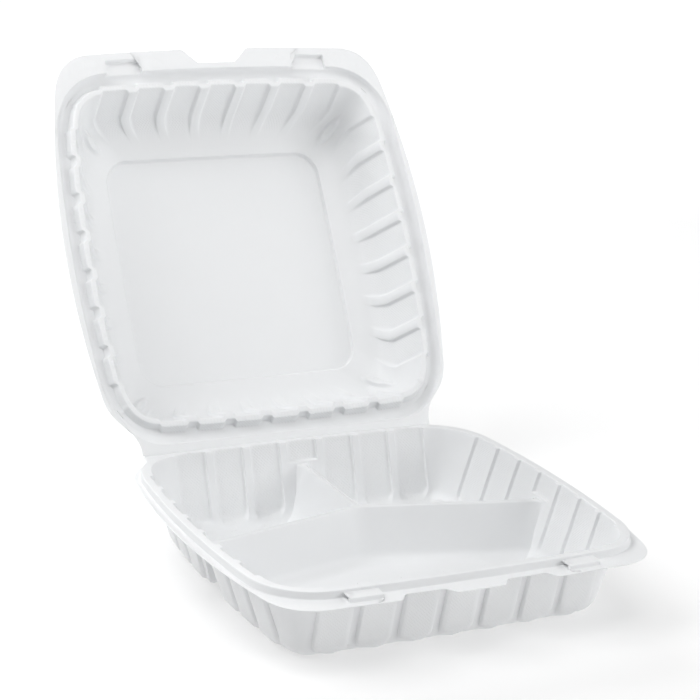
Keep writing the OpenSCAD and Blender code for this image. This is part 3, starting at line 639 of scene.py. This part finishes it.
def flute_tree():
    """Pushes the flute faces out of a plain wall and marks where they carry their diamond texture."""
    group = bpy.data.node_groups.new("Press flutes", "GeometryNodeTree")
    add = group.interface.new_socket
    add("Sheet", in_out="INPUT", socket_type="NodeSocketGeometry")
    for name in ("Pitch", "Face", "Flank", "Last flute", "Texture margin"):
        add(name, in_out="INPUT", socket_type="NodeSocketFloat")
    add("Material", in_out="INPUT", socket_type="NodeSocketMaterial")
    add("Sheet", in_out="OUTPUT", socket_type="NodeSocketGeometry")
    tree = Tree(group)
    given = tree.node("NodeGroupInput").outputs

    def named(label, kind="FLOAT"):
        return tree.node("GeometryNodeInputNamedAttribute", dict(data_type=kind), Name=label).outputs[0]
    place = tree.wire(named("along"))
    pitch, face, flank, last, margin = (tree.wire(given[n]) for n in ("Pitch", "Face", "Flank", "Last flute", "Texture margin"))
    which = (place / pitch).math("ROUND").least(last).most(-last)
    across = (place - which * pitch).abs()
    half = face * 0.5 - tree.wire(named("narrow"))
    raised = ((half + flank - across) / flank).clamp()
    smooth = raised * raised * (3.0 - raised * 2.0)
    deep = tree.wire(named("deep"))
    shift = tree.node("ShaderNodeVectorMath", dict(operation="SCALE"), i0=named("outward", "FLOAT_VECTOR"))
    group.links.new((deep * smooth).socket, shift.inputs["Scale"])
    moved = tree.node("GeometryNodeSetPosition", Geometry=given["Sheet"], Offset=shift.outputs[0])
    knurl = ((half - margin - across) / 0.0006).clamp() * (deep / (FLUTE_D * MM)).clamp()
    marked = tree.node("GeometryNodeStoreNamedAttribute", dict(data_type="FLOAT", domain="POINT"),
                       Geometry=moved.outputs[0], Name="diamonds", Value=knurl)
    real = tree.node("GeometryNodeRealizeInstances", Geometry=marked.outputs[0])
    done = tree.node("GeometryNodeSetMaterial", Geometry=real.outputs[0], Material=given["Material"])
    tree.node("NodeGroupOutput", Sheet=done.outputs[0])
    return group


def mark(mesh, spots):
    """Presses small oval forms into a shell, towards the side that its faces look at.

    A spot holds its middle in plan, the two heights it lies between, its half sizes, its turn in
    degrees, its height and the share of its radius that slopes.
    """
    work = bmesh.new()
    work.from_mesh(mesh)
    for x, y, z_from, z_to, half_x, half_y, turn, height, soft in spots:
        c, t = cos(radians(turn)), sin(radians(turn))

        def close_by(reach):
            found = {}
            limit = reach * max(half_x, half_y)
            for v in work.verts:
                dx, dy, z = v.co.x / MM - x, v.co.y / MM - y, v.co.z / MM
                if abs(dx) < limit and abs(dy) < limit and z_from <= z <= z_to:
                    d = sqrt(((dx * c + dy * t) / half_x) ** 2 + ((dy * c - dx * t) / half_y) ** 2)
                    if d < reach:
                        found[v] = d
            return found
        around = close_by(1 + 2.5 / min(half_x, half_y))
        edges = {e for v in around for e in v.link_edges if e.other_vert(v) in around}
        bmesh.ops.subdivide_edges(work, edges=list(edges), cuts=1 if soft > 0.3 else 3, use_grid_fill=True)
        work.normal_update()
        shifts = [(v, v.normal * height * MM * float(ease((1 - d) / soft))) for v, d in close_by(1.0).items()]
        for v, shift in shifts:
            v.co += shift
    work.to_mesh(mesh)
    work.free()


def pressed(name, mesh, thickness, sizes, material):
    """Presses the flutes into a plain shell, gives it its thickness and returns it as a plain mesh object."""
    work = bpy.data.objects.new(name + "_form", mesh)
    bpy.context.scene.collection.objects.link(work)
    flutes = work.modifiers.new("Flutes", "NODES")
    group = flute_tree()
    flutes.node_group = group
    inputs = {item.name: item.identifier for item in group.interface.items_tree
              if item.item_type == "SOCKET" and item.in_out == "INPUT"}
    for label, value in sizes.items():
        flutes[inputs[label]] = value
    flutes[inputs["Material"]] = material
    wall = work.modifiers.new("Thickness", "SOLIDIFY")
    wall.thickness, wall.offset = thickness * MM, -1.0
    wall.use_even_offset, wall.use_rim = False, True
    bpy.context.view_layer.update()
    graph = bpy.context.evaluated_depsgraph_get()
    plain = bpy.data.meshes.new_from_object(work.evaluated_get(graph), preserve_all_data_layers=True, depsgraph=graph)
    bpy.data.objects.remove(work)
    plain.name = name
    if not plain.materials:
        plain.materials.append(material)
    piece = bpy.data.objects.new(name, plain)
    bpy.context.scene.collection.objects.link(piece)
    for face in plain.polygons:
        face.use_smooth = True
    plain.set_sharp_from_angle(angle=radians(42))
    return piece


# Plastic
def sheet_plastic(name, tint):
    """Matte mineral-filled plastic: a faint mottle, an eggshell skin and diamonds on the flute faces."""
    made = bpy.data.materials.new(name)
    made.use_nodes = True
    made.node_tree.nodes.clear()
    tree = Tree(made.node_tree)
    at = tree.node("ShaderNodeTexCoord").outputs["Object"]

    def noise(scale, detail):
        out = tree.node("ShaderNodeTexNoise", Vector=at, Scale=scale, Detail=detail)
        return tree.wire(out.outputs[0])
    cloud, speck, skin = noise(28.0, 3.0), noise(900.0, 2.0), noise(1500.0, 3.0)
    uv = tree.node("ShaderNodeUVMap", dict(uv_map="Wall")).outputs[0]
    parts = tree.node("ShaderNodeSeparateXYZ", Vector=uv)
    across, down = tree.wire(parts.outputs[0]), tree.wire(parts.outputs[1])
    mask = tree.wire(tree.node("ShaderNodeAttribute", dict(attribute_name="diamonds")).outputs["Fac"])

    def ridges(value, per):
        return (value * per).math("FRACT").math("SUBTRACT", 0.5).abs() * 2.0
    one = ridges(across + down, 53.0)
    two = ridges(across - down, 53.0)
    diamonds = one.least(two) * mask
    height = diamonds * 0.00013 + skin * 0.00002 + cloud * 0.00005
    bump = tree.node("ShaderNodeBump", Strength=1.0, Distance=1.0, Height=height)
    mottle = (cloud * 0.7 + speck * 0.3 - 0.5) * 1.2 + 0.5
    colour = tree.node("ShaderNodeMix", dict(data_type="RGBA"), i0=mottle.clamp())
    colour.inputs[6].default_value = (*[c * 0.985 for c in tint], 1)
    colour.inputs[7].default_value = (*tint, 1)
    rough = 0.42 + (speck - 0.5) * 0.1 - diamonds * 0.05
    skin_shader = tree.node("ShaderNodeBsdfPrincipled", Base_Color=colour.outputs[2], Roughness=rough,
                            Normal=bump.outputs[0], IOR=1.49, Subsurface_Weight=0.2, Subsurface_Scale=0.0015,
                            Subsurface_Radius=(1.0, 1.0, 1.0))
    tree.node("ShaderNodeOutputMaterial", Surface=skin_shader.outputs[0])
    return made


base_plastic = sheet_plastic("base_sheet_plastic", (0.83, 0.84, 0.85))
lid_plastic = sheet_plastic("lid_sheet_plastic", (0.83, 0.84, 0.85))

base_form = base_shell().mesh("base_form")
lid_form = lid_shell().mesh("lid_form", flip=True)

# Dimples and round pads on the lid flange, stacking lugs in the dome corners and nibs on its ledge
LID_MARKS = [
    (-94.8, -113.2, 38, 39.5, 2.3, 2.3, 0, 0.34, 0.6), (92.3, -113.2, 38, 39.5, 2.3, 2.3, 0, 0.34, 0.6),
    (-80.5, -117.6, 38, 39.5, 4.8, 2.9, 0, 0.25, 0.1), (-41.0, -117.8, 38, 39.5, 4.8, 2.9, 0, 0.25, 0.1),
    (41.0, -118.2, 38, 39.5, 4.8, 2.9, 0, 0.25, 0.1), (79.0, -117.8, 38, 39.5, 4.8, 2.9, 0, 0.25, 0.1),
    (78.0, -82.0, 55, 80, 9.5, 3.6, -42, 2.4, 0.5), (-78.0, -82.0, 55, 80, 9.5, 3.6, 42, 2.4, 0.5),
    (76.5, 84.5, 55, 80, 9.5, 3.6, 38, 2.4, 0.5), (-76.5, 84.5, 55, 80, 9.5, 3.6, -38, 2.4, 0.5),
    (-92.6, -93.4, 38.8, 45, 3.0, 1.8, 45, 0.4, 0.5), (90.6, -93.4, 38.8, 45, 3.0, 1.8, -45, 0.4, 0.5),
    (-94.6, 92.6, 38.8, 45, 3.0, 1.8, -45, 0.4, 0.5), (90.6, 94.2, 38.8, 45, 3.0, 1.8, 45, 0.4, 0.5),
]
# Stacking nibs inside the land, lugs in the floor corners and the latch slot at the left of each tab
BASE_MARKS = [
    (101.6, -65.5, 38, 42.4, 1.6, 2.6, 0, 0.4, 0.4), (67.8, 107.0, 38, 42.4, 2.6, 1.6, 0, 0.4, 0.4),
    (-101.6, -65.5, 38, 42.4, 1.6, 2.6, 0, 0.4, 0.4), (-67.8, 107.0, 38, 42.4, 2.6, 1.6, 0, 0.4, 0.4),
    (78.0, 81.0, 0, 14, 10.0, 7.0, -45, 4.5, 0.9), (-78.0, 81.0, 0, 14, 10.0, 7.0, 45, 4.5, 0.9),
    (TABS_X[0] - TAB_W / 2 - 0.3, -113.4, 38.7, 40.8, 1.4, 2.4, 0, -3.6, 0.31),
    (TABS_X[1] - TAB_W / 2 - 0.3, -113.9, 38.7, 40.8, 1.4, 2.4, 0, -3.6, 0.31),
]
mark(lid_form, LID_MARKS)
mark(base_form, BASE_MARKS)

base = pressed("base_shell", base_form, BASE_T,
               {"Pitch": PITCH * MM, "Face": BASE_FACE * MM, "Flank": BASE_FLANK * MM, "Last flute": 3.0,
                "Texture margin": 1.0 * MM}, base_plastic)
lid = pressed("lid_shell", lid_form, LID_T,
              {"Pitch": PITCH * MM, "Face": LID_FACE * MM, "Flank": LID_FLANK * MM, "Last flute": 3.0,
               "Texture margin": 1.0 * MM}, lid_plastic)
hinge_axis = Vector((0, HINGE_Y, HINGE_Z)) * MM
swing = Matrix.Translation(hinge_axis) @ Matrix.Rotation(-LID_OPEN, 4, "X") @ Matrix.Translation(-hinge_axis)
lid.data.transform(swing)


# Living hinge
def hinge_strip():
    """The thin web between the two flanges, bent as far as the lid stands open."""
    t = 0.35
    start = Vector((0, HINGE_Y - HINGE_GAP - 0.05, FLANGE_H - BASE_T / 2))
    up = Vector((0, -cos(LID_OPEN), sin(LID_OPEN)))
    out = Vector((0, sin(LID_OPEN), cos(LID_OPEN)))
    stop = Vector((0, HINGE_Y, HINGE_Z)) + up * (HINGE_GAP + 0.05) + out * (HINGE_GAP + LID_T / 2)
    pull = (stop - start).length * 0.6
    a, b = start + Vector((0, pull, 0)), stop - up * pull
    rows = []
    for i in range(9):
        f = i / 8
        g = 1 - f
        p = start * g ** 3 + a * 3 * g * g * f + b * 3 * g * f * f + stop * f ** 3
        d = ((a - start) * g * g + (b - a) * 2 * g * f + (stop - b) * f * f).normalized()
        n = Vector((0, -d.z, d.y))
        rows.append((p, n))
    section = [p + n * t / 2 for p, n in rows] + [p - n * t / 2 for p, n in reversed(rows)]
    half = HINGE_W / 2 - 1.0
    xs = np.linspace(-half, half, 61)
    points = [((x) * MM, p.y * MM, p.z * MM) for x in xs for p in section]
    n = len(section)
    faces = []
    for i in range(len(xs) - 1):
        for j in range(n):
            k = (j + 1) % n
            faces.append((i * n + j, i * n + k, (i + 1) * n + k, (i + 1) * n + j))
    faces += [tuple(range(n))[::-1], tuple((len(xs) - 1) * n + j for j in range(n))]
    made = bpy.data.meshes.new("hinge_web")
    made.from_pydata(points, [], faces)
    work = bmesh.new()
    work.from_mesh(made)
    bmesh.ops.recalc_face_normals(work, faces=work.faces)
    work.to_mesh(made)
    work.free()
    web = bpy.data.objects.new("hinge_web", made)
    bpy.context.scene.collection.objects.link(web)
    for face in made.polygons:
        face.use_smooth = True
    return web, start * MM, stop * MM


web, web_start, web_stop = hinge_strip()
web.data.materials.append(lid_plastic)

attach(base, "base")
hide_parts("base")
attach(lid, "lid")
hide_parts("lid")
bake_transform(web)


# Studio
def camera_as_photographed():
    """The photograph's camera: place, yaw, pitch and roll in degrees, and focal length in pixels."""
    yaw, pitch, roll = radians(26.638), radians(15.427), radians(2.007)
    look = Vector((sin(yaw) * cos(pitch), cos(yaw) * cos(pitch), -sin(pitch)))
    level = Vector((cos(yaw), -sin(yaw), 0))
    over = level.cross(look)
    right = level * cos(roll) + over * sin(roll)
    above = over * cos(roll) - level * sin(roll)
    data = bpy.data.cameras.new("studio_camera")
    data.sensor_width, data.lens = 36.0, 2079.78 / 700 * 36
    data.shift_x, data.shift_y = -84.78 / 700, 1.98 / 700
    data.clip_start, data.clip_end = 0.05, 50.0
    made = bpy.data.objects.new("studio_camera", data)
    bpy.context.scene.collection.objects.link(made)
    turn = Matrix((right, above, -look)).transposed().to_4x4()
    made.matrix_world = Matrix.Translation(Vector((-444.77, -947.62, 413.55)) * MM) @ turn
    bpy.context.scene.camera = made


def softbox(name, place, aim, size, watts):
    data = bpy.data.lights.new(name, "AREA")
    data.shape, data.size, data.energy = "SQUARE", size, watts
    made = bpy.data.objects.new(name, data)
    bpy.context.scene.collection.objects.link(made)
    made.location = place
    made.rotation_euler = (Vector(aim) - Vector(place)).to_track_quat("-Z", "Y").to_euler()


SOFTBOXES = [
    ("back_softbox", (0.0, 1.9, 0.9), 1.2, 28.7),
    ("high_front_softbox", (-0.4, -0.8, 2.0), 1.0, 15.5),
    ("left_rear_softbox", (-1.3, 1.4, 0.9), 1.2, 4.0),
    ("right_softbox", (1.8, 0.1, 0.7), 1.2, 7.0),
    ("right_front_softbox", (1.3, -1.3, 0.8), 1.2, 15.8),
    ("top_left_softbox", (-1.2, 0.2, 1.6), 1.2, 21.6),
]


def studio():
    floor_mesh = bpy.data.meshes.new("studio_floor")
    r = 8.0
    floor_mesh.from_pydata([(-r, -r, 0), (r, -r, 0), (r, r, 0), (-r, r, 0)], [], [(0, 1, 2, 3)])
    floor = bpy.data.objects.new("studio_floor", floor_mesh)
    bpy.context.scene.collection.objects.link(floor)
    paper = bpy.data.materials.new("studio_paper")
    paper.use_nodes = True
    paper.node_tree.nodes.clear()
    tree = Tree(paper.node_tree)
    at = tree.node("ShaderNodeTexCoord").outputs["Object"]
    away = tree.wire(tree.node("ShaderNodeVectorMath", dict(operation="LENGTH"), i0=at).outputs[1])
    glow = ((away - 1.0) / 1.6).clamp() * 0.55 + 0.45
    shader = tree.node("ShaderNodeBsdfPrincipled", Base_Color=(0.5, 0.5, 0.5, 1), Roughness=0.9,
                       Emission_Color=(1, 1, 1, 1))
    made = tree.node("ShaderNodeCombineColor", i0=glow, i1=glow, i2=glow)
    tree.tree.links.new(made.outputs[0], shader.inputs["Emission Color"])
    shader.inputs["Emission Strength"].default_value = 1.0
    tree.node("ShaderNodeOutputMaterial", Surface=shader.outputs[0])
    floor_mesh.materials.append(paper)
    world = bpy.data.worlds.new("studio_air")
    bpy.context.scene.world = world
    world.use_nodes = True
    world.node_tree.nodes["Background"].inputs["Color"].default_value = (1, 1, 1, 1)
    world.node_tree.nodes["Background"].inputs["Strength"].default_value = 0.01
    bpy.context.scene.view_settings.view_transform = "Standard"
    for name, place, size, watts in SOFTBOXES:
        softbox(name, place, (0, 0.05, 0.08), size, watts)


camera_as_photographed()
studio()
